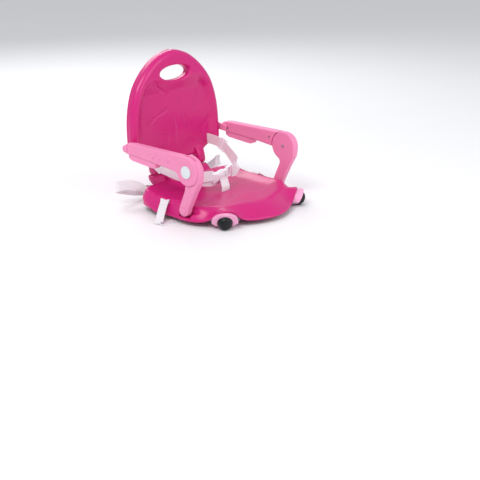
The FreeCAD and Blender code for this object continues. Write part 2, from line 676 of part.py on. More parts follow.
def make_chair_straps():
    for name, side in SIDES:
        x = side
        route = [
            ((x * 151.8, 27, 22), (0, 1, 0)), ((x * 151.8, 27, 40.4), (0, 1, 0)),
            ((x * 157, 24.5, 41.2), (0, 1, 0)), ((x * 180, 11, 23), (0, 1, 0)),
            ((x * 202, -1, 3.4), (0, 1, 0)), ((x * 203, -3, 1.2), (0, 1, 0)),
            ((x * 170, -6, 1.2), (0, 1, 0)), ((x * 23, -6, 1.2), (0, 1, 0)),
        ]
        write("chair_strap_" + name, webbing(route, 22.0))
        rear = [
            ((x * 110, 116, 30.2), (x, 0, 0)), ((x * 111, 128, 31), (x, -0.3, 0.2)),
            ((x * 124, 142, 36), (0.3 * x, -0.3, 1)), ((x * 144, 158, 44), (0, 0, 1)),
            ((x * 166, 166, 48), (0, 0, 1)), ((x * 174, 171, 46), (0, 0, 1)),
            ((x * 164, 176, 38), (0, 0, 1)), ((x * 110, 177, 22), (0, 0, 1)),
            ((x * 60, 177, 14), (0, 0, 1)), ((x * 26, 177, 13.4), (0, 0, 1)),
        ]
        write("back_strap_" + name, webbing(rear))
    chair_buckle = box(-22.8, 22.8, -19, 7, 0.3, 8.3)
    top_edges = [e for e in chair_buckle.Edges if e.BoundBox.ZMin > 8]
    write("chair_buckle", chair_buckle.makeFillet(2.0, top_edges))
    write("back_buckle", box(-25.8, 25.8, 172.5, 178, 0.5, 26.5))


make_seat_shell()
make_legs()
make_base()
make_backrest()
for label, sign in SIDES:
    make_arm(label, sign)
    make_strut(label, sign)
    make_button(label, sign)
make_harness()
make_chair_straps()
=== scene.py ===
import json
import math

import bpy
import numpy as np
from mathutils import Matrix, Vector


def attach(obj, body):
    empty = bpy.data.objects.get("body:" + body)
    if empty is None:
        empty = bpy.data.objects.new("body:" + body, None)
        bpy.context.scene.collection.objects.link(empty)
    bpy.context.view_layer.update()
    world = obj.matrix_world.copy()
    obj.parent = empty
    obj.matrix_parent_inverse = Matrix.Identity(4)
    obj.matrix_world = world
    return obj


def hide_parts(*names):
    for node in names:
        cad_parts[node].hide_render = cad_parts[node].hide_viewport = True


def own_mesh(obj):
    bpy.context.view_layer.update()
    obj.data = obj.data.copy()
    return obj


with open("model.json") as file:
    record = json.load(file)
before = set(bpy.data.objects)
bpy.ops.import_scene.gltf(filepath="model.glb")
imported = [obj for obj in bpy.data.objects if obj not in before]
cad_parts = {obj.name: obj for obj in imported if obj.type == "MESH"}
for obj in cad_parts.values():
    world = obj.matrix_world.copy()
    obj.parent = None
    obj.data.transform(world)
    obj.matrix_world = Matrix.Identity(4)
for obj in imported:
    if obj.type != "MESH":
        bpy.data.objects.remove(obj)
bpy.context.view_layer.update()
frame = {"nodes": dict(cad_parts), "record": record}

# Folding booster seat. Metres in Blender; the tables below are in millimetres and are scaled by MM.
MM = 0.001
SIDES = (("left", 1), ("right", -1))
UP = (0.0, 0.0, 1.0)


# ---- camera, floor and light ---------------------------------------------
def look(obj, target):
    direction = Vector(target) - obj.location
    obj.rotation_mode = "QUATERNION"
    obj.rotation_quaternion = direction.to_track_quat("-Z", "Y")


def add_object(name, data, place=(0, 0, 0)):
    obj = bpy.data.objects.new(name, data)
    obj.location = place
    bpy.context.scene.collection.objects.link(obj)
    return obj


def make_camera():
    data = bpy.data.cameras.new("camera")
    data.sensor_width = 36.0
    data.lens = 66.91
    camera = add_object("camera", data, (-1.4563, -1.4021, 0.6384))
    look(camera, (-0.1402, -0.1906, -0.006))
    bpy.context.scene.camera = camera


def area_light(name, place, target, size, power):
    data = bpy.data.lights.new(name, "AREA")
    data.shape = "RECTANGLE"
    data.size, data.size_y = size
    data.energy = power
    look(add_object(name, data, place), target)


def make_studio():
    scene = bpy.context.scene
    scene.view_settings.view_transform = "Standard"
    scene.view_settings.exposure = 0.0
    world = bpy.data.worlds.new("studio")
    world.use_nodes = True
    background = world.node_tree.nodes["Background"]
    background.inputs["Color"].default_value = (0.95, 0.96, 1.0, 1)
    background.inputs["Strength"].default_value = 0.62
    scene.world = world
    area_light("key", (-1.7, -0.5, 2.3), (0, 0, 0.1), (1.6, 1.2), 34)
    area_light("fill", (0.6, -2.4, 1.5), (0, 0, 0.1), (1.8, 1.4), 18)
    area_light("back", (0.9, 1.9, 1.7), (0, 0, 0.15), (1.8, 1.0), 22)


def make_floor():
    size = 6.0
    corners = [(-size, -size, 0), (size, -size, 0), (size, size, 0), (-size, size, 0)]
    mesh = bpy.data.meshes.new("floor")
    mesh.from_pydata(corners, [], [(0, 1, 2, 3)])
    floor = add_object("floor", mesh)
    s = Shader("floor_paper")
    s.link(s.mix(s.noise(2.0), (0.90, 0.90, 0.905), (0.93, 0.93, 0.935)), s.bsdf, "Base Color")
    s.link(s.ramp(s.noise(30.0), 0.3, 0.7, 0.7, 0.85), s.bsdf, "Roughness")
    mesh.materials.append(s.material)


# ---- materials -------------------------------------------------------------
NOISE_ROUGHNESS = 0.55
RIB_PITCH, YARN_PITCH, CHEVRON_HALF = 0.0011, 0.0016, 0.0032


class Shader:
    """A Principled material with short calls for adding nodes and links."""

    def __init__(self, name):
        self.material = bpy.data.materials.new(name)
        self.material.use_nodes = True
        self.tree = self.material.node_tree
        self.bsdf = self.tree.nodes["Principled BSDF"]
        self.object_space = self.node("ShaderNodeTexCoord").outputs["Object"]

    def node(self, kind, **settings):
        made = self.tree.nodes.new(kind)
        for key, value in settings.items():
            setattr(made, key, value)
        return made

    def link(self, source, node, socket):
        self.tree.links.new(source, node.inputs[socket])

    def noise(self, scale, detail=3.0, stretch=None):
        made = self.node("ShaderNodeTexNoise")
        made.inputs["Scale"].default_value = scale
        made.inputs["Detail"].default_value = detail
        made.inputs["Roughness"].default_value = NOISE_ROUGHNESS
        source = self.object_space
        if stretch:
            mapping = self.node("ShaderNodeMapping")
            mapping.inputs["Scale"].default_value = stretch
            self.link(source, mapping, "Vector")
            source = mapping.outputs["Vector"]
        self.link(source, made, "Vector")
        return made.outputs["Fac"]

    def ramp(self, source, low, high, value_low, value_high):
        made = self.node("ShaderNodeMapRange", interpolation_type="SMOOTHSTEP")
        for socket, value in (
            ("From Min", low), ("From Max", high), ("To Min", value_low), ("To Max", value_high),
        ):
            made.inputs[socket].default_value = value
        self.link(source, made, "Value")
        return made.outputs["Result"]

    def mix(self, factor, first, second):
        """A colour between two colours or sockets."""
        made = self.node("ShaderNodeMix", data_type="RGBA")
        self.link(factor, made, "Factor")
        for slot, value in ((6, first), (7, second)):
            if isinstance(value, tuple):
                made.inputs[slot].default_value = (*value, 1)
            else:
                self.tree.links.new(value, made.inputs[slot])
        return made.outputs[2]

    def math(self, operation, first, second=None):
        made = self.node("ShaderNodeMath", operation=operation)
        for i, value in enumerate((first, second)):
            if value is None:
                continue
            if isinstance(value, (int, float)):
                made.inputs[i].default_value = value
            else:
                self.tree.links.new(value, made.inputs[i])
        return made.outputs[0]

    def bump(self, height, strength, distance, below=None):
        made = self.node("ShaderNodeBump")
        made.inputs["Strength"].default_value = strength
        made.inputs["Distance"].default_value = distance
        self.link(height, made, "Height")
        if below is not None:
            self.link(below, made, "Normal")
        return made.outputs["Normal"]

    def set(self, **values):
        for key, value in values.items():
            self.bsdf.inputs[key.replace("_", " ")].default_value = value


def shade(colour, factor):
    return tuple(min(1.0, c * factor) for c in colour)


def plastic(name, colour, gloss, grain, coat=0.0, worn=0.10):
    """Moulded plastic: faint flow marks, a fine grain, uneven gloss and paler worn edges."""
    s = Shader(name)
    flow = s.noise(5.0, 2.0, (1.0, 1.0, 0.5))
    base = s.mix(s.ramp(flow, 0.2, 0.8, 0, 1), shade(colour, 0.97), shade(colour, 1.03))
    edge = s.node("ShaderNodeNewGeometry").outputs["Pointiness"]
    scuff = s.math("MULTIPLY", s.ramp(edge, 0.52, 0.60, 0, 1), s.ramp(s.noise(60.0), 0.4, 0.7, 0.3, 1))
    pale = tuple(c + (1 - c) * 0.35 for c in colour)
    base = s.mix(s.math("MULTIPLY", scuff, worn), base, pale)
    s.link(base, s.bsdf, "Base Color")
    smear = s.ramp(s.noise(6.0, 1.0), 0.2, 0.8, gloss - 0.015, gloss + 0.025)
    s.link(s.math("ADD", smear, s.math("MULTIPLY", scuff, 0.08)), s.bsdf, "Roughness")
    waves = s.bump(s.noise(8.0, 0.0), 0.02, 0.002)
    s.link(s.bump(s.noise(1500.0, 2.0), grain, 0.00025, waves), s.bsdf, "Normal")
    s.set(Coat_Weight=coat, Coat_Roughness=0.12, Specular_IOR_Level=0.4)
    s.set(Subsurface_Weight=0.04, Subsurface_Scale=0.004, Subsurface_Radius=(1.0, 0.4, 0.6))
    return s.material


def webbing_material(name, colour):
    """Woven strap: U runs across in metres and V along; ribs across and chevron yarns along, with painted
    shade darkening the colour in the weave's valleys.
    """
    s = Shader(name)
    uv = s.node("ShaderNodeSeparateXYZ")
    s.link(s.node("ShaderNodeTexCoord").outputs["UV"], uv, "Vector")
    across, along = uv.outputs["X"], uv.outputs["Y"]
    zigzag = s.math("PINGPONG", across, CHEVRON_HALF)
    slanted = s.math("ADD", along, s.math("MULTIPLY", zigzag, 0.8))
    rib = s.math("SINE", s.math("MULTIPLY", slanted, 2 * math.pi / RIB_PITCH))
    yarn = s.math("SINE", s.math("MULTIPLY", across, 2 * math.pi / YARN_PITCH))
    height = s.math("ADD", s.math("MULTIPLY", rib, 0.6), s.math("MULTIPLY", yarn, 0.4))
    # painted shade: the weave's low parts get a colour 10% darker than the raised yarns
    valley = s.ramp(height, -1.0, 0.6, 0, 1)
    soil = s.ramp(s.noise(22.0, 4.0), 0.35, 0.7, 0, 1)
    cloth = s.mix(soil, colour, shade(colour, 0.955))
    s.link(s.mix(valley, shade(colour, 0.90), cloth), s.bsdf, "Base Color")
    woven = s.bump(height, 0.35, 0.0003)
    s.link(s.bump(s.noise(2600.0), 0.15, 0.0002, woven), s.bsdf, "Normal")
    s.link(s.ramp(s.noise(90.0), 0.3, 0.7, 0.62, 0.8), s.bsdf, "Roughness")
    s.set(Sheen_Weight=0.35, Sheen_Roughness=0.4, Subsurface_Weight=0.06, Subsurface_Scale=0.003)
    return s.material


def rubber(name):
    s = Shader(name)
    dust = s.ramp(s.noise(45.0, 6.0), 0.5, 0.8, 0, 1)
    s.link(s.mix(dust, (0.004, 0.005, 0.007), (0.014, 0.014, 0.015)), s.bsdf, "Base Color")
    s.link(s.ramp(s.noise(120.0), 0.3, 0.7, 0.34, 0.46), s.bsdf, "Roughness")
    s.set(Specular_IOR_Level=0.32)
    s.link(s.bump(s.noise(900.0), 0.2, 0.0003), s.bsdf, "Normal")
    return s.material


def steel(name):
    s = Shader(name)
    streak = s.noise(400.0, 3.0, (0.08, 1.0, 1.0))
    s.link(s.mix(streak, (0.42, 0.43, 0.45), (0.68, 0.69, 0.71)), s.bsdf, "Base Color")
    s.link(s.ramp(streak, 0.2, 0.8, 0.24, 0.42), s.bsdf, "Roughness")
    s.link(s.bump(streak, 0.08, 0.0002), s.bsdf, "Normal")
    s.set(Metallic=1.0)
    return s.material


MAGENTA = (0.630, 0.010, 0.190)
DARK_MAGENTA = (0.36, 0.010, 0.120)
ARM_PINK = (0.870, 0.260, 0.480)
LEG_PINK = (0.960, 0.430, 0.660)
WHITE = (0.74, 0.77, 0.80)
WEB_WHITE = (0.92, 0.88, 0.91)
GREY = (0.22, 0.23, 0.24)

SLOTS = {
    "magenta_shell": plastic("shell_plastic", MAGENTA, 0.30, 0.04, coat=0.12, worn=0.03),
    "dark_magenta_base": plastic("base_plastic", DARK_MAGENTA, 0.45, 0.15),
    "light_pink_arm": plastic("arm_plastic", ARM_PINK, 0.42, 0.28),
    "light_pink_leg": plastic("leg_plastic", LEG_PINK, 0.40, 0.22),
    "white_button": plastic("button_plastic", WHITE, 0.28, 0.06, coat=0.2, worn=0.0),
    "white_buckle": plastic("buckle_plastic", (0.94, 0.96, 1.0), 0.34, 0.14, worn=0.0),
    "white_webbing": webbing_material("strap_webbing", WEB_WHITE),
    "black_rubber": rubber("foot_rubber"),
    "grey_bracket": plastic("bracket_plastic", GREY, 0.45, 0.2),
    "steel": steel("screw_steel"),
}
THREAD = plastic("thread", (0.80, 0.79, 0.82), 0.6, 0.4, worn=0.0)


# ---- mesh helpers ------------------------------------------------------------
def smoothstep(value):
    t = np.clip(value, 0.0, 1.0)
    return t * t * (3 - 2 * t)


def piece(name, verts, faces, slot, body, uvs=None, replaces=()):
    """A mesh given in millimetres, shaded smooth, riding on a body."""
    mesh = bpy.data.meshes.new(name)
    mesh.from_pydata((np.asarray(verts) * MM).tolist(), [], faces)
    mesh.update()
    mesh.polygons.foreach_set("use_smooth", [True] * len(mesh.polygons))
    if uvs is not None:
        layer = mesh.uv_layers.new(name="UVMap")
        index = np.zeros(len(mesh.loops), int)
        mesh.loops.foreach_get("vertex_index", index)
        layer.data.foreach_set("uv", np.asarray(uvs, float)[index].ravel())
    mesh.materials.append(SLOTS[slot])
    obj = add_object(name, mesh)
    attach(obj, body)
    if replaces:
        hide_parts(*replaces)
    return obj


def grid_faces(rows, columns, closed=False, offset=0, flip=False):
    """Quads over a rows x columns block of vertices; closed joins the last column to the first."""
    i = np.arange(rows - 1)[:, None]
    j = np.arange(columns if closed else columns - 1)[None, :]
    k = (j + 1) % columns
    quads = np.stack([i * columns + j, i * columns + k, (i + 1) * columns + k, (i + 1) * columns + j], -1)
    quads = quads.reshape(-1, 4) + offset
    return (quads[:, ::-1] if flip else quads).tolist()


def end_caps(rows, columns, offset=0, flip=False):
    """Faces that close the first and the last ring of a closed block."""
    first = [offset + j for j in range(columns)]
    last = [offset + (rows - 1) * columns + j for j in range(columns)]
    return [first[::-1], last] if flip else [first, last[::-1]]


def drawn_in(loop, middle, draw):
    """An outline moved towards a point by the same distance all round."""
    toward = middle - loop
    toward /= np.linalg.norm(toward, axis=1)[:, None]
    return loop + toward * draw


def ring_at(x, outline):
    """An outline in (y, z) as points at one x."""
    return np.stack([np.full(len(outline), x), outline[:, 0], outline[:, 1]], -1)


def crease(obj, degrees):
    """Sharp edges stay crisp where the surface turns by more than the angle."""
    obj.data.set_sharp_from_angle(angle=math.radians(degrees))


# ---- seat shell --------------------------------------------------------------
SEAT_CENTRE_Y = -25.0
SEAT_HALF = (
    (0, -177), (40, -170), (80, -152), (123, -132), (150, -95), (164, -60), (165, 0),
    (163, 75), (150, 108), (120, 122), (60, 124), (0, 124),
)
EDGE_Z, SIDE_Z, FRONT_Z, REAR_Z = 14.5, 43.0, 41.0, 51.0
SEAT_SKIN = 3.4
ARCH_X, ARCH_Y, ARCH_RISE, ARCH_REACH = 124.0, -135.0, 26.5, 31.0
REAR_EDGE_LIFT = 15.5
REAR_START, REAR_RUN = 40.0, 70.0
FRONT_START, FRONT_RUN = 60.0, 90.0
SKIRT_SIDE, SKIRT_FRONT_MORE, SKIRT_REAR_LESS = 24.0, 28.0, 12.0
LOBE_RISE = 1.5
LOBE_Y, LOBE_WAVE, LOBE_HALF_X = -61.0, 16.0, 105
LOBE_START, LOBE_RUN = 9, 15
DISH_START, DISH_RUN = 12, 58
VALLEY_Z, VALLEY_SLOPE, VALLEY_FRONT_Y = 23.5, 0.33, -59
DISH_DEPTH = 7.5
PLATE_TOP_Z = 15.0
SEAT_COLUMNS = 400
EDGE_INSETS = (0.0, 0.6, 1.4, 2.4, 3.6, 5.0, 6.6)
LIP_DROPS = (1.35, 0.675, 0.225, 0.0, 0.0, 0.0, 0.0)
CROTCH_SLOT = ((-8, -12.5, 15), (20, -7.5, 60))
STRUT_POCKET = ((148.0, -62, 17), (190.0, -28, 70))
STRAP_SLOT = ((149.5, 13, 20), (154.0, 40, 60))


def rim_radius(angle):
    """Distance from the seat's centre to its outline; angle in degrees, 0 at the front."""
    table = [(math.degrees(math.atan2(x, SEAT_CENTRE_Y - y)), math.hypot(x, y - SEAT_CENTRE_Y))
             for x, y in SEAT_HALF]
    angles = np.array([-table[1][0]] + [a for a, _ in table] + [360 - table[-2][0]])
    radii = np.array([table[1][1]] + [r for _, r in table] + [table[-2][1]])
    angle = np.abs(angle)
    i = np.clip(np.searchsorted(angles, angle, side="right") - 1, 1, len(table) - 1)
    t = (angle - angles[i]) / (angles[i + 1] - angles[i])
    step = angles[i + 1] - angles[i]
    slope0 = (radii[i + 1] - radii[i - 1]) / (angles[i + 1] - angles[i - 1]) * step
    after = np.minimum(i + 2, len(angles) - 1)
    slope1 = (radii[after] - radii[i]) / np.maximum(angles[after] - angles[i], 1e-6) * step
    blend = t * t * (3 - 2 * t)
    return radii[i] + (radii[i + 1] - radii[i]) * blend + slope0 * t * (1 - t) ** 2 - slope1 * t * t * (1 - t)


def seat_height(x, y):
    angle = np.degrees(np.arctan2(np.abs(x), SEAT_CENTRE_Y - y))
    inset = rim_radius(angle) - np.hypot(x, y - SEAT_CENTRE_Y)
    arch = ARCH_RISE / (1 + (np.hypot(np.abs(x) - ARCH_X, y - ARCH_Y) / ARCH_REACH) ** 4)
    rear = smoothstep((y - REAR_START) / REAR_RUN)
    front = smoothstep((-y - FRONT_START) / FRONT_RUN)
    edge = EDGE_Z + arch + REAR_EDGE_LIFT * rear
    ridge = SIDE_Z + (REAR_Z - SIDE_Z) * rear + (FRONT_Z - SIDE_Z) * front
    skirt = SKIRT_SIDE + SKIRT_FRONT_MORE * front - SKIRT_REAR_LESS * rear
    rise = np.sin(np.pi / 2 * np.clip(inset / skirt, 0, 1))
    lobe = LOBE_Y - LOBE_WAVE * np.sin(np.clip(np.abs(x) / LOBE_HALF_X, 0, 1) * np.pi) ** 2
    dish = DISH_DEPTH * smoothstep((inset - skirt + DISH_START) / DISH_RUN)
    dish = dish * smoothstep((y - lobe + LOBE_START) / LOBE_RUN)
    gap = ridge - edge
    height = edge + 0.5 * (gap + np.hypot(gap, 2 * LOBE_RISE)) * rise - dish
    return height - valley(x, y, height)


def valley(x, y, height):
    """Room beside the strut's foot, so that the strut can swing forward over the skirt."""
    limit = VALLEY_Z + VALLEY_SLOPE * np.maximum(0, VALLEY_FRONT_Y - y)
    share = smoothstep((np.abs(x) - 145) / 4) * smoothstep((y + 112) / 16) * smoothstep((-20 - y) / 9)
    return share * np.maximum(0, height - limit)


def cut_boxes(obj, boxes):
    """Cut square openings, given in millimetres, through a closed mesh."""
    for low, high in boxes:
        mesh = bpy.data.meshes.new("cutter")
        corners = [(x, y, z) for x in (low[0], high[0]) for y in (low[1], high[1]) for z in (low[2], high[2])]
        faces = [(0, 1, 3, 2), (4, 6, 7, 5), (0, 4, 5, 1), (2, 3, 7, 6), (0, 2, 6, 4), (1, 5, 7, 3)]
        mesh.from_pydata((np.array(corners) * MM).tolist(), [], faces)
        cutter = add_object("cutter", mesh)
        modifier = obj.modifiers.new("cut", "BOOLEAN")
        modifier.operation = "DIFFERENCE"
        modifier.solver = "EXACT"
        modifier.object = cutter
        bpy.context.view_layer.update()
        graph = bpy.context.evaluated_depsgraph_get()
        result = bpy.data.meshes.new_from_object(obj.evaluated_get(graph))
        obj.modifiers.clear()
        old, obj.data = obj.data, result
        bpy.data.meshes.remove(old)
        bpy.data.objects.remove(cutter)
        bpy.data.meshes.remove(mesh)


def mirrored(box, s):
    """A box given for the left side, or its mirror image for the right."""
    (x0, *low), (x1, *high) = box
    near, far = sorted((s * x0, s * x1))
    return (near, *low), (far, *high)


def make_seat():
    angle = np.linspace(-180, 180, SEAT_COLUMNS, endpoint=False)
    radius = rim_radius(angle)
    sine, cosine = np.sin(np.radians(angle)), np.cos(np.radians(angle))
    rings = [radius - inset for inset in EDGE_INSETS]
    rings += [(radius - EDGE_INSETS[-1]) * share for share in np.linspace(1.0, 0.0, 84)[1:-1]]
    radii = np.array(rings)
    x, y = radii * sine, SEAT_CENTRE_Y - radii * cosine
    z = seat_height(x, y)
    z[:len(LIP_DROPS)] -= np.array(LIP_DROPS)[:, None]
    top = np.stack([x, y, z], -1)
    under = []
    for inset, drop in ((0.0, 1.0), (0.5, 2.4), (1.6, 3.0)):
        r = radius - inset
        under.append(np.stack([r * sine, SEAT_CENTRE_Y - r * cosine, z[0] - drop], -1))
    inner_r = np.array([(radius - 4.0) * s for s in np.linspace(1.0, 0.0, 60)[:-1]])
    ix, iy = inner_r * sine, SEAT_CENTRE_Y - inner_r * cosine
    inner = np.stack([ix, iy, seat_height(ix, iy) - SEAT_SKIN], -1)
    layers = np.concatenate([top[::-1], np.array(under), inner])
    rows = len(layers)
    faces = grid_faces(rows, SEAT_COLUMNS, closed=True, flip=True)
    centre_top = (0, SEAT_CENTRE_Y, float(seat_height(np.array(0.0), np.array(SEAT_CENTRE_Y))))
    centre_low = (0, SEAT_CENTRE_Y, centre_top[2] - SEAT_SKIN)
    verts = np.vstack([layers.reshape(-1, 3), centre_top, centre_low])
    last = len(verts) - 1
    for j in range(SEAT_COLUMNS):
        k = (j + 1) % SEAT_COLUMNS
        faces.append((last - 1, j, k))
        faces.append((last, (rows - 1) * SEAT_COLUMNS + k, (rows - 1) * SEAT_COLUMNS + j))
    shell = piece("seat_moulding", verts, faces, "magenta_shell", "seat", replaces=("seat_shell",))
    boxes = [CROTCH_SLOT]
    for _, s in SIDES:
        boxes += [mirrored(STRUT_POCKET, s), mirrored(STRAP_SLOT, s)]
    cut_boxes(shell, boxes)
    crease(shell, 40)


# ---- backrest ------------------------------------------------------------------
HINGE_Y, HINGE_Z, RECLINE = 145.5, 74.0, math.radians(3.0)
BACK_FRONT_Y, BACK_JOIN_Y, BACK_REAR_Y = 132.5, 150.5, 158.5
BACK_HALF = (
    (86, 86), (92, 94), (104, 101), (122, 109), (136, 117), (142, 130), (143.5, 152), (142, 190),
    (138, 218), (130.5, 246), (119, 272), (100, 297), (75, 320), (48, 337), (20, 346.5), (0, 349.5),
)
HOLE = (0.0, 296.0)
HOLE_HALF = (49.0, 18.0)
RING_CROWDING = 0.054
KNUCKLE_R, BLOCK_R, CHEEK_R = 13.0, 9.0, 14.2
SIDE_ROLL_DEPTH, SIDE_ROLL_WIDTH = 12.5, 14.0
EDGE_ROLL_DEPTH, EDGE_ROLL_WIDTH = 4.0, 4.5
RECESS_DEPTH, RECESS_START, RECESS_RUN = 12.0, 11, 24.0
RECESS_FADE_Z, RECESS_FADE_RUN = 248, 42
HOLE_LIP_DEPTH, HOLE_LIP_WIDTH = 3.0, 6.0


def leaned(points):
    """The upright backrest tipped back about its hinge."""
    p = np.array(points, float)
    y, z = p[..., 1] - HINGE_Y, p[..., 2] - HINGE_Z
    p[..., 1] = HINGE_Y + y * math.cos(RECLINE) + z * math.sin(RECLINE)
    p[..., 2] = HINGE_Z - y * math.sin(RECLINE) + z * math.cos(RECLINE)
    return p


def resample(points, count):
    """Points spread evenly along a smooth line through the given ones."""
    p = np.array(points, float)
    p = np.vstack([2 * p[0] - p[1], p, 2 * p[-1] - p[-2]])
    dense = []
    for i in range(1, len(p) - 2):
        t = np.linspace(0, 1, 24, endpoint=False)[:, None]
        a, b, c, d = p[i - 1], p[i], p[i + 1], p[i + 2]
        dense.append(0.5 * (2 * b + (c - a) * t + (2 * a - 5 * b + 4 * c - d) * t ** 2
                            + (3 * b - a - 3 * c + d) * t ** 3))
    dense = np.vstack(dense + [p[-2][None]])
    length = np.concatenate([[0], np.cumsum(np.linalg.norm(np.diff(dense, axis=0), axis=1))])
    at = np.linspace(0, length[-1], count)
    return np.stack([np.interp(at, length, dense[:, k]) for k in range(p.shape[1])], -1)


def back_outline(count):
    """The whole outline in (x, z), seen from the hole's centre, one point for each even angle."""
    half = resample(BACK_HALF, 260)
    corner_x, corner_z = BACK_HALF[0]
    foot = np.stack([np.linspace(0, corner_x, 40)[:-1], np.full(39, float(corner_z))], -1)
    right = np.vstack([foot, half])
    whole = np.vstack([right, right[::-1][1:-1] * (-1, 1)])
    angle = np.unwrap(np.arctan2(whole[:, 0], HOLE[1] - whole[:, 1]))
    reach = np.hypot(whole[:, 0], whole[:, 1] - HOLE[1])
    order = np.argsort(angle)
    at = np.linspace(0, 2 * np.pi, count, endpoint=False)
    r = np.interp(at, angle[order], reach[order], period=2 * np.pi)
    return np.stack([r * np.sin(at), HOLE[1] - r * np.cos(at)], -1), at


def distance_to(points, line):
    """Shortest distance from each (x, z) to a closed line of points."""
    best = np.full(len(points), 1e9)
    a, b = line, np.roll(line, -1, axis=0)
    for start in range(0, len(points), 4000):
        p = points[start:start + 4000, None, :]
        ab = b - a
        t = np.clip(((p - a) * ab).sum(-1) / np.maximum((ab ** 2).sum(-1), 1e-9), 0, 1)
        best[start:start + 4000] = np.sqrt((((a + ab * t[..., None]) - p) ** 2).sum(-1)).min(1)
    return best


def capsule(x, z, start, end, r0, r1):
    """Signed distance to a bar from start to end whose radius goes from r0 to r1."""
    dx, dz = end[0] - start[0], end[1] - start[1]
    t = np.clip(((x - start[0]) * dx + (z - start[1]) * dz) / (dx * dx + dz * dz), 0, 1)
    return np.hypot(x - start[0] - t * dx, z - start[1] - t * dz) - (r0 + (r1 - r0) * t)


def along(start, end, share, off=0.0):
    """A point on the way from start to end, moved off to its side."""
    dx, dz = end[0] - start[0], end[1] - start[1]
    length = math.hypot(dx, dz)
    return (start[0] + dx * share - dz / length * off, start[1] + dz * share + dx / length * off)


def fork(x, z, tip, end):
    shape = capsule(x, z, along(tip, end, 0.42), end, 1.6, 4.2)
    shape = np.minimum(shape, capsule(x, z, along(tip, end, 0.26), along(tip, end, 0.34), 6.0, 4.5))
    for off in (-5.2, -1.75, 1.75, 5.2):
        prong = capsule(x, z, along(tip, end, 0.0, off), along(tip, end, 0.28, off), 0.8, 1.1)
        shape = np.minimum(shape, prong)
    return shape


def spoon(x, z, tip, end):
    bowl = capsule(x, z, along(tip, end, 0.10), along(tip, end, 0.20), 8.0, 7.0)
    return np.minimum(bowl, capsule(x, z, along(tip, end, 0.3), end, 1.6, 4.0))


def knife(x, z, tip, end):
    blade = capsule(x, z, along(tip, end, 0.04, 1.5), along(tip, end, 0.45), 2.6, 4.6)
    return np.minimum(blade, capsule(x, z, along(tip, end, 0.52), end, 3.0, 4.0))


def plate(x, z, centre, radius):
    reach = np.hypot(x - centre[0], z - centre[1])
    return np.minimum(np.abs(reach - radius) - 0.9, np.abs(reach - radius * 0.66) - 0.7)


def relief(x, z):
    """Shallow table-ware shapes pressed into the backrest's panel: depth from 0 to 1."""
    shapes = [
        spoon(x, z, (-74, 280), (-21, 246)),
        fork(x, z, (88, 276), (63, 203)),
        fork(x, z, (-90, 186), (-27, 211)),
        fork(x, z, (42, 160), (13, 232)),
        spoon(x, z, (83, 142), (124, 184)),
        knife(x, z, (-4, 186), (1, 124)),
        fork(x, z, (36, 133), (86, 110)),
        plate(x, z, (-45, 141), 21.0),
    ]
    nearest = np.minimum.reduce(shapes)
    return smoothstep(0.5 - nearest / 1.4)


def rolled(distance, depth, width):
    """The drop of a quarter-round edge: depth at the edge itself, and none past its width."""
    return depth * (1 - np.sqrt(np.clip(1 - (1 - np.clip(distance / width, 0, 1)) ** 2, 0, 1)))


def back_depth(z, from_edge, from_side, from_hole):
    """How far the front face lies behind the rim's crest."""
    side_roll = rolled(from_side, SIDE_ROLL_DEPTH, SIDE_ROLL_WIDTH)
    edge_roll = rolled(from_edge, EDGE_ROLL_DEPTH, EDGE_ROLL_WIDTH)
    fade = 1 - smoothstep((z - RECESS_FADE_Z) / RECESS_FADE_RUN)
    recess = RECESS_DEPTH * smoothstep((from_side - RECESS_START) / RECESS_RUN) * fade
    lip = HOLE_LIP_DEPTH * (1 - smoothstep(from_hole / HOLE_LIP_WIDTH)) ** 2
    return np.maximum(side_roll + recess, recess + edge_roll) + lip


def make_backrest():
    columns, rows = 520, 112
    outline, at = back_outline(columns)
    rim = np.hypot(outline[:, 0], outline[:, 1] - HOLE[1])
    hole = 1 / np.sqrt((np.sin(at) / HOLE_HALF[0]) ** 2 + (np.cos(at) / HOLE_HALF[1]) ** 2)
    share = np.linspace(0, 1, rows)
    share = share + RING_CROWDING * np.sin(2 * np.pi * share)
    r = hole + (rim - hole) * share[:, None]
    x = r * np.sin(at)
    z = HOLE[1] - r * np.cos(at)
    flat = np.stack([x.ravel(), z.ravel()], -1)
    inset = distance_to(flat, outline).reshape(x.shape)
    inset[-1] = 0
    arch = np.vstack([(143.5, 40), resample(BACK_HALF[6:], 120)])
    arch = np.vstack([arch, arch[::-1][1:] * (-1, 1)])
    from_side = distance_to(flat, arch).reshape(x.shape)
    hole_line = np.stack([hole * np.sin(at), HOLE[1] - hole * np.cos(at)], -1)
    from_hole = distance_to(flat, hole_line).reshape(x.shape)
    y = BACK_FRONT_Y + back_depth(z, inset, from_side, from_hole)
    y = y + 1.0 * relief(x, z) * smoothstep((from_side - 14) / 8)
    front = np.stack([x, y, z], -1)
    side = []
    for k, y_at in ((0.0, BACK_JOIN_Y - 0.8), (0.7, BACK_JOIN_Y)):
        ring = front[-1].copy()
        ring[:, 0] *= 1 - k / rim
        ring[:, 2] = HOLE[1] + (ring[:, 2] - HOLE[1]) * (1 - k / rim)
        ring[:, 1] = y_at
        side.append(ring)
    throat = []
    for y_at in (BACK_REAR_Y - 1.0, 152.0, 148.0):
        ring = front[0].copy()
        ring[:, 1] = y_at
        throat.append(ring)
    layers = np.concatenate([np.array(throat), front, np.array(side)])
    verts = leaned(layers.reshape(-1, 3))
    faces = grid_faces(len(layers), columns, closed=True, flip=True)
    piece("backrest_moulding", verts, faces, "magenta_shell", "backrest", replaces=("backrest_shell",))
    for name, s in SIDES:
        make_back_leg(name, s)


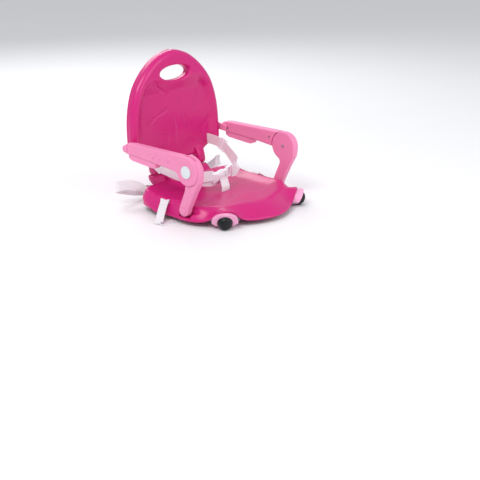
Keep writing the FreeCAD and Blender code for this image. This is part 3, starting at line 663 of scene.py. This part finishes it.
def rounded_loop(points, radius, steps=5):
    """A closed outline with its corners rounded; each point may carry its own radius."""
    loop = []
    for i, p in enumerate(points):
        r = p[2] if len(p) > 2 else radius
        here = np.array(p[:2], float)
        before = np.array(points[i - 1][:2], float) - here
        after = np.array(points[(i + 1) % len(points)][:2], float) - here
        reach_b, reach_a = np.linalg.norm(before), np.linalg.norm(after)
        cut = min(r, reach_b / 2.2, reach_a / 2.2)
        start, end = here + before / reach_b * cut, here + after / reach_a * cut
        for t in np.linspace(0, 1, steps):
            loop.append((1 - t) ** 2 * start + 2 * t * (1 - t) * here + t * t * end)
    return np.array(loop)


def make_back_leg(name, s):
    """A leg of the backrest down to its hinge knuckle, its edges softened."""
    outline = []
    for turn in np.linspace(0, math.pi, 15):
        outline.append((HINGE_Y - KNUCKLE_R * math.cos(turn), HINGE_Z - KNUCKLE_R * math.sin(turn)))
    outline += [(158.5, 92), (158.0, 104), (149.0, 110), (142.5, 104), (137.0, 93), (134.0, 84)]
    loop = np.array(outline)
    middle = loop.mean(0)
    rings = []
    for x, draw in ((62, 2.0), (62.5, 0.9), (64, 0.0), (82, 0.0), (83.5, 0.9), (84, 2.0)):
        p = drawn_in(loop, middle, draw)
        widen = np.clip((p[:, 1] - 84) / 26, 0, 1) ** 2 * (5 if x > 73 else -5)
        rings.append(np.stack([s * (x + widen), p[:, 0], p[:, 1]], -1))
    rings = leaned(np.array(rings))
    faces = grid_faces(len(rings), len(loop), closed=True, flip=s < 0)
    faces += end_caps(len(rings), len(loop), flip=s > 0)
    crease(piece("backrest_leg_" + name, rings.reshape(-1, 3), faces, "magenta_shell", "backrest"), 50)


def make_hinge_block():
    """The raised rear of the seat that carries the backrest's hinge rod."""
    outline = [(106, 49, 3), (118, 60, 8), (131, 66, 6), (135.5, 74, 6)]
    for turn in np.linspace(0.9 * math.pi, 0.05 * math.pi, 9):
        outline.append((HINGE_Y + BLOCK_R * math.cos(turn), HINGE_Z + BLOCK_R * math.sin(turn), 1.5))
    outline += [
        (155.5, 70, 4), (158, 60, 4), (158, 43, 4), (123.8, 43, 2),
        (123.5, 32, 1), (118, 32, 1), (118, 46, 1),
    ]
    loop = rounded_loop(outline, 3.0, 4)
    middle = np.array((133.0, 58.0))
    rings = [ring_at(x, drawn_in(loop, middle, draw)) for x, draw in (
        (-58, 1.6), (-57.4, 0.5), (-56, 0.0), (56, 0.0), (57.4, 0.5), (58, 1.6),
    )]
    faces = grid_faces(len(rings), len(loop), closed=True)
    faces += end_caps(len(rings), len(loop), flip=True)
    crease(piece("hinge_block", np.array(rings).reshape(-1, 3), faces, "magenta_shell", "seat"), 50)


def make_cradle(name, s):
    """The seat's cheek under one knuckle of the backrest."""
    loop = [(114, 44), (124, 50), (130, 56), (134.5, 59.5)]
    for turn in np.linspace(math.radians(240), math.radians(300), 11):
        loop.append((HINGE_Y + CHEEK_R * math.cos(turn), HINGE_Z + CHEEK_R * math.sin(turn)))
    loop += [(154.0, 59), (152.5, 51), (142, 42), (124, 37), (114, 37)]
    loop = np.array(loop)
    middle = np.array((142.0, 51.0))
    rings = [ring_at(s * x, drawn_in(loop, middle, draw))
             for x, draw in ((57, 0.0), (88, 0.0), (89.6, 0.5), (90.4, 1.6))]
    faces = grid_faces(len(rings), len(loop), closed=True, flip=s > 0)
    faces += end_caps(len(rings), len(loop), flip=s < 0)
    crease(piece("hinge_cheek_" + name, np.array(rings).reshape(-1, 3), faces, "magenta_shell", "seat"), 50)


def make_rear_wall():
    """The wall that closes the seat's hollow at the rear, from the base plate up to the rim."""
    angle = np.linspace(117, 243, 120)
    radius = rim_radius(np.where(angle > 180, 360 - angle, angle))
    rings = []
    for inset, top in ((1.2, False), (1.2, True), (3.4, True), (3.4, False)):
        x = (radius - inset) * np.sin(np.radians(angle))
        y = SEAT_CENTRE_Y - (radius - inset) * np.cos(np.radians(angle))
        z = seat_height(x, y) - 2.4 if top else np.full(len(x), PLATE_TOP_Z)
        rings.append(np.stack([x, y, z], -1))
    rows = np.stack(rings, 1)
    faces = grid_faces(len(angle), 4, closed=True) + end_caps(len(angle), 4)
    crease(piece("seat_rear_wall", rows.reshape(-1, 3), faces, "magenta_shell", "seat"), 50)


def make_screw_bosses():
    """Posts from the base plate up to the underside of the seat, one for each screw."""
    count = 32
    turn = np.linspace(0, 2 * np.pi, count, endpoint=False)
    verts, faces = [], []
    for _, s in SIDES:
        for x, y in ((46, -148), (112, -28), (60, 96), (138, 104)):
            top = float(seat_height(np.array(float(x)), np.array(float(y)))) - 2.6
            profile = (
                (2.0, PLATE_TOP_Z), (4.6, PLATE_TOP_Z), (5.0, PLATE_TOP_Z + 0.5), (5.0, top), (2.0, top),
            )
            rings = [np.stack([s * x + r * np.cos(turn), y + r * np.sin(turn), np.full(count, z)], -1)
                     for r, z in profile]
            start = sum(len(v) for v in verts)
            verts.append(np.vstack(rings))
            faces += grid_faces(len(rings), count, closed=True, offset=start)
            faces += end_caps(len(rings), count, offset=start, flip=True)
    crease(piece("seat_bosses", np.vstack(verts), faces, "magenta_shell", "seat"), 50)


def make_pocket_linings():
    """The wall and floor inside each pocket where a strut's foot turns."""
    for name, s in SIDES:
        blocks = [((0, -45, 25), (3, 44, 19.5), 0.8), ((s * 7.0, -45, 16.2), (15, 35, 2.0), 0.7)]
        fitting("strut_pocket_" + name, blocks, (s * 146.4, 0, 0), (1, 0, 0), UP, "magenta_shell")


# ---- harness fittings ---------------------------------------------------------------
def rounded_box(size, radius, steps=3):
    """Points and quads of a box about the origin with rounded edges."""
    half = np.array(size, float) / 2
    radius = min(radius, half.min() * 0.98)
    ease = np.tan(np.linspace(0, math.pi / 4, steps + 1)) * radius
    marks = [np.concatenate([-(h - radius) - ease[::-1], (h - radius) + ease]) for h in half]
    verts, faces = [], []
    for axis in range(3):
        u, v = (axis + 1) % 3, (axis + 2) % 3
        for sign in (1, -1):
            gu, gv = np.meshgrid(marks[u], marks[v], indexing="ij")
            q = np.zeros(gu.shape + (3,))
            q[..., axis], q[..., u], q[..., v] = sign * half[axis], gu, gv
            core = np.clip(q, -(half - radius), half - radius)
            away = q - core
            q = core + away / np.linalg.norm(away, axis=-1, keepdims=True) * radius
            faces += grid_faces(*gu.shape, offset=sum(len(p) for p in verts), flip=sign > 0)
            verts.append(q.reshape(-1, 3))
    points = np.vstack(verts)
    _, first, index = np.unique(np.round(points, 3), axis=0, return_index=True, return_inverse=True)
    index = index.ravel()
    return points[first], [[int(index[k]) for k in face] for face in faces]


def fitting(name, blocks, origin, along, up, slot, body="seat", replaces=()):
    """One piece from rounded blocks: each is (centre, size, radius) along, out and up from the origin."""
    axis_u = np.array(along, float) / np.linalg.norm(along)
    axis_w = np.array(up, float) - axis_u * np.dot(up, axis_u)
    axis_w /= np.linalg.norm(axis_w)
    axis_v = np.cross(axis_w, axis_u)
    verts, faces = [], []
    for centre, size, radius in blocks:
        points, quads = rounded_box(size, radius)
        start = sum(len(p) for p in verts)
        points = points + np.array(centre)
        verts.append(np.array(origin) + points @ np.array([axis_u, axis_v, axis_w]))
        faces += [[k + start for k in quad] for quad in quads]
    return piece(name, np.vstack(verts), faces, slot, body, replaces=replaces)


def make_arm_bosses():
    """The thicker inner end of each arm, which reaches across to the backrest's side."""
    for name, s in SIDES:
        fitting("arm_boss_" + name, [((0, 0, 0), (31, 6.4, 17.0), 2.9)], (s * 147.4, 136.0, 143.2),
                (0, 1, 0.096), UP, "light_pink_arm", "arm_" + name)


def make_button_springs():
    """A flat wave spring behind each button, which closes up as the button goes in."""
    turns, wire = 3, 0.32
    elbow_y, elbow_z = -62, 125
    at = np.linspace(0, 2 * np.pi * turns, 72 * turns)
    climb = np.linspace(164.8, 167.8, len(at)) + 0.25 * np.sin(at * 3)
    for name, s in SIDES:
        rings = []
        for radial, axial in ((8.4, -wire), (10.8, -wire), (10.8, wire), (8.4, wire)):
            y, z = elbow_y + radial * np.cos(at), elbow_z + radial * np.sin(at)
            rings.append(np.stack([s * (climb + axial), y, z], -1))
        rows = np.stack(rings, 1)
        faces = grid_faces(len(at), 4, closed=True, flip=s > 0) + end_caps(len(at), 4, flip=s > 0)
        spring = piece("wave_spring_" + name, rows.reshape(-1, 3), faces, "steel", "arm_" + name,
                       replaces=("button_spring_" + name,))
        crease(spring, 40)
        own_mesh(spring)


def soften(obj):
    """A soft harness piece gets its own copy of its mesh."""
    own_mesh(obj)


def make_fittings():
    along, up = (1, 0.03, 0.14), (-0.1, -0.18, 1)
    body = [
        ((0, 0, 0), (36, 11.5, 25), 4.5),
        ((-19, 0, 0), (4.5, 9, 26), 2.0),
        ((-14.5, 0, 11.4), (10, 8, 3.6), 1.7), ((-14.5, 0, -11.4), (10, 8, 3.6), 1.7),
        ((2, 0, 0), (25, 13.2, 17), 4.5),
        ((4, 0, 11.8), (15, 7.5, 4.0), 1.9), ((4, 0, -11.8), (15, 7.5, 4.0), 1.9),
    ]
    buckle = fitting("buckle_body", body, (2, 7.5, 69.0), along, up, "white_buckle",
                     replaces=("harness_buckle",))
    tongue = [
        ((0, 0, 0), (10, 8.5, 21), 2.4),
        ((7, 0, 12.6), (17, 7, 3.4), 1.6), ((7, 0, -12.6), (17, 7, 3.4), 1.6),
        ((14.5, 0, 0), (4.0, 7, 28), 1.9), ((4.0, 0, 0), (3.6, 7.6, 26), 1.7),
    ]
    plug = fitting("buckle_tongue", tongue, (26, 8.2, 72.4), along, up, "white_buckle",
                   replaces=("harness_tongue",))
    for obj in (buckle, plug):
        soften(obj)
    ladder = [
        ((0, 0, 14.6), (22, 4.4, 3.4), 1.6), ((0, 0, -14.6), (22, 4.4, 3.4), 1.6),
        ((-9.6, 0, 0), (3.2, 4.2, 30), 1.5), ((9.6, 0, 0), (3.2, 4.2, 30), 1.5),
        ((0, 1.4, 0), (4.2, 4.2, 29), 1.9),
    ]
    for name, origin, way, lift in (
        ("left", (104, 92, 112), (0.03, 0.93, 0.36), (0.08, -0.35, 0.93)),
        ("right", (-104, 100, 97), (0.06, 0.9, 0.42), (-0.05, -0.4, 0.9)),
    ):
        slider = fitting("ladder_slider_" + name, ladder, origin, way, lift, "white_buckle",
                         replaces=("waist_slider_" + name,))
        soften(slider)


# ---- straps ----------------------------------------------------------------------
FLOOR_GAP = 0.4
WEBBING_T = 1.5
ROW_SPACING = 2.0
STITCH_PITCH = 2.6
STITCH_HALF_LENGTH, STITCH_HALF_WIDTH = 1.0, 0.32


def ribbon(stations, width, count):
    """A strap's rings: stations give a centre and the direction across."""
    table = np.array([list(c) + list(a) for c, a in stations], float)
    line = resample(table, count)
    centre, across = line[:, :3], line[:, 3:]
    ahead = np.gradient(centre, axis=0)
    ahead /= np.linalg.norm(ahead, axis=1)[:, None]
    across = across - (across * ahead).sum(1)[:, None] * ahead
    across /= np.linalg.norm(across, axis=1)[:, None]
    normal = np.cross(ahead, across)
    length = np.concatenate([[0], np.cumsum(np.linalg.norm(np.diff(centre, axis=0), axis=1))])
    half, thick = width / 2, WEBBING_T / 2
    profile = [(-half, 0.0), (-half + 0.25, thick * 1.15), (-half + 1.3, thick * 1.1)]
    profile += [(u, thick) for u in np.linspace(-half + 2.6, half - 2.6, 7)]
    profile += [(half - 1.3, thick * 1.1), (half - 0.25, thick * 1.15), (half, 0.0)]
    profile += [(u, -t) for u, t in profile[1:-1][::-1]]
    profile = np.array(profile)
    rings = centre[:, None, :] + profile[None, :, :1] * across[:, None, :]
    rings = rings + profile[None, :, 1:] * normal[:, None, :]
    rings[..., 2] = np.maximum(rings[..., 2], FLOOR_GAP)
    uv = np.stack(np.broadcast_arrays(profile[None, :, 0], length[:, None]), -1) * MM
    return rings, uv, (centre, across, normal, length)


def strap(name, stations, width=25.0, replaces=(), seams=()):
    """Webbing with sewn box seams at the given distances along it."""
    rough = np.array([c for c, _ in stations], float)
    count = max(12, int(np.linalg.norm(np.diff(rough, axis=0), axis=1).sum() / ROW_SPACING))
    rings, uv, (centre, across, normal, length) = ribbon(stations, width, count)
    rows, columns = rings.shape[:2]
    verts = rings.reshape(-1, 3)
    uvs = uv.reshape(-1, 2)
    faces = grid_faces(rows, columns, closed=True) + end_caps(rows, columns)
    stitches = []
    for start, end in seams:
        half = width / 2 - STITCH_PITCH
        stitches += [(u, v, True) for v in np.arange(start, end + 0.01, STITCH_PITCH) for u in (-half, half)]
        stitches += [(u, v, False) for u in np.arange(-half + 2.4, half - 1.0, STITCH_PITCH)
                     for v in (start, end)]
    thread_faces = []
    for u, v, runs_along in stitches:
        at = np.clip(v, 0, length[-1])
        c, a, n = (np.array([np.interp(at, length, field[:, k]) for k in range(3)])
                   for field in (centre, across, normal))
        forward = np.cross(a, n)
        long, wide = (forward, a) if runs_along else (a, forward)
        for up in (1, -1):
            base = c + a * u + n * up * (WEBBING_T / 2 + 0.05)
            first = len(verts)
            crown, beside = n * up * 0.22, wide * STITCH_HALF_WIDTH
            corners = [
                base - long * STITCH_HALF_LENGTH, base - beside + crown,
                base + long * STITCH_HALF_LENGTH, base + beside + crown,
                base + n * up * 0.42, base - n * up * 0.3,
            ]
            verts = np.vstack([verts, corners])
            uvs = np.vstack([uvs, np.zeros((6, 2))])
            for k in range(4):
                here, after = first + k, first + (k + 1) % 4
                thread_faces.append([here, after, first + 4])
                thread_faces.append([after, here, first + 5])
    made = piece(name, verts, faces + thread_faces, "white_webbing", "seat", uvs=uvs, replaces=replaces)
    made.data.materials.append(THREAD)
    kinds = [0] * len(faces) + [1] * len(thread_faces)
    made.data.polygons.foreach_set("material_index", kinds)
    return made


def make_harness():
    left = [
        ((105, 149, 119), UP), ((105, 132, 119), UP), ((104.5, 112, 117), (0.0, 0.15, 1)),
        ((104, 92, 111), (0.1, 0.35, 1)), ((98, 62, 96), (0.2, 0.5, 1)), ((91, 36, 80), (0.3, 0.6, 0.8)),
        ((82, 26, 70), (0.25, 0.5, 0.9)), ((68, 17, 67), (0.1, 0.25, 1)), ((48, 9.5, 69), UP),
    ]
    waist = [strap("waist_webbing_left", left, replaces=("waist_strap_left",), seams=((12, 30),))]
    right = [
        ((-105, 149, 119), UP), ((-105, 132, 116), UP), ((-104, 102, 97), (0, 0.3, 1)),
        ((-97, 78, 88), (0, 0.25, 1)), ((-91, 48, 81), (0, 0.15, 1)), ((-76, 24, 78), UP),
        ((-50, 9, 76), UP), ((-18, 8, 72), UP),
    ]
    waist.append(strap("waist_webbing_right", right, replaces=("waist_strap_right",),
                       seams=((12, 30), (190, 206))))
    for obj in waist:
        soften(obj)
    sag = [
        ((-72, 24, 72), UP), ((-44, 13.5, 64), UP), ((-16, 12.5, 58.5), UP),
        ((10, 12.5, 61), UP), ((28, 12.5, 66), UP),
    ]
    soften(strap("webbing_tail", sag))
    crotch = [
        ((6, -10, 13.5), (1, 0, 0)), ((6, -10, 34), (1, 0, 0)), ((7.5, -9, 44), (1, 0, 0)),
        ((10, -4, 52), (1, 0, 0)), ((11.5, 0.5, 60), (1, 0, 0)), ((12, 1.0, 68), (1, 0, 0)),
    ]
    soften(strap("crotch_webbing", crotch, replaces=("crotch_strap",), seams=((32, 44),)))


def make_chair_straps():
    for name, s in SIDES:
        across = (0, 1, 0)
        route = [
            ((s * 151.8, 27, 22), across), ((s * 151.8, 27, 36), across), ((s * 154, 26, 41.2), across),
            ((s * 159, 23, 39.6), across), ((s * 180, 11, 23), across), ((s * 198, 0.5, 6.0), across),
            ((s * 202, -2.5, 2.0), across), ((s * 194, -4, 1.2), across), ((s * 168, -6, 1.2), across),
            ((s * 90, -6, 1.2), across), ((s * 22, -6, 1.2), across),
        ]
        strap("chair_webbing_" + name, route, width=22.0, replaces=("chair_strap_" + name,),
              seams=((150, 166),))
        rear = [
            ((s * 108, 117, 30.2), (s, -0.2, 0.25)), ((s * 112, 125, 32), (s, -0.5, 0.6)),
            ((s * 119, 134, 37), (0.6 * s, -0.5, 1)), ((s * 131, 145, 44), (0.12 * s, -0.1, 1)),
            ((s * 148, 156, 49), UP), ((s * 162, 163, 49.5), UP), ((s * 170.5, 168, 48), UP),
            ((s * 171, 173.5, 45), UP), ((s * 160, 176.6, 39), UP), ((s * 110, 177, 23), UP),
            ((s * 60, 177, 14), UP), ((s * 25, 177, 13.4), UP),
        ]
        strap("back_webbing_" + name, rear, replaces=("back_strap_" + name,), seams=((96, 112),))


# ---- CAD parts that stay: their finish ------------------------------------------------
NODE_SLOTS = {row["node"]: row["material_slot"] for row in frame["record"]["subparts"]}


def finish_cad_nodes():
    for name, slot_name in NODE_SLOTS.items():
        obj = frame["nodes"][name]
        obj.data.materials.clear()
        obj.data.materials.append(SLOTS[slot_name])


make_camera()
make_studio()
finish_cad_nodes()
make_seat()
make_hinge_block()
for side_name, side_sign in SIDES:
    make_cradle(side_name, side_sign)
make_backrest()
make_harness()
make_fittings()
make_rear_wall()
make_screw_bosses()
make_pocket_linings()
make_arm_bosses()
make_button_springs()
make_chair_straps()
make_floor()
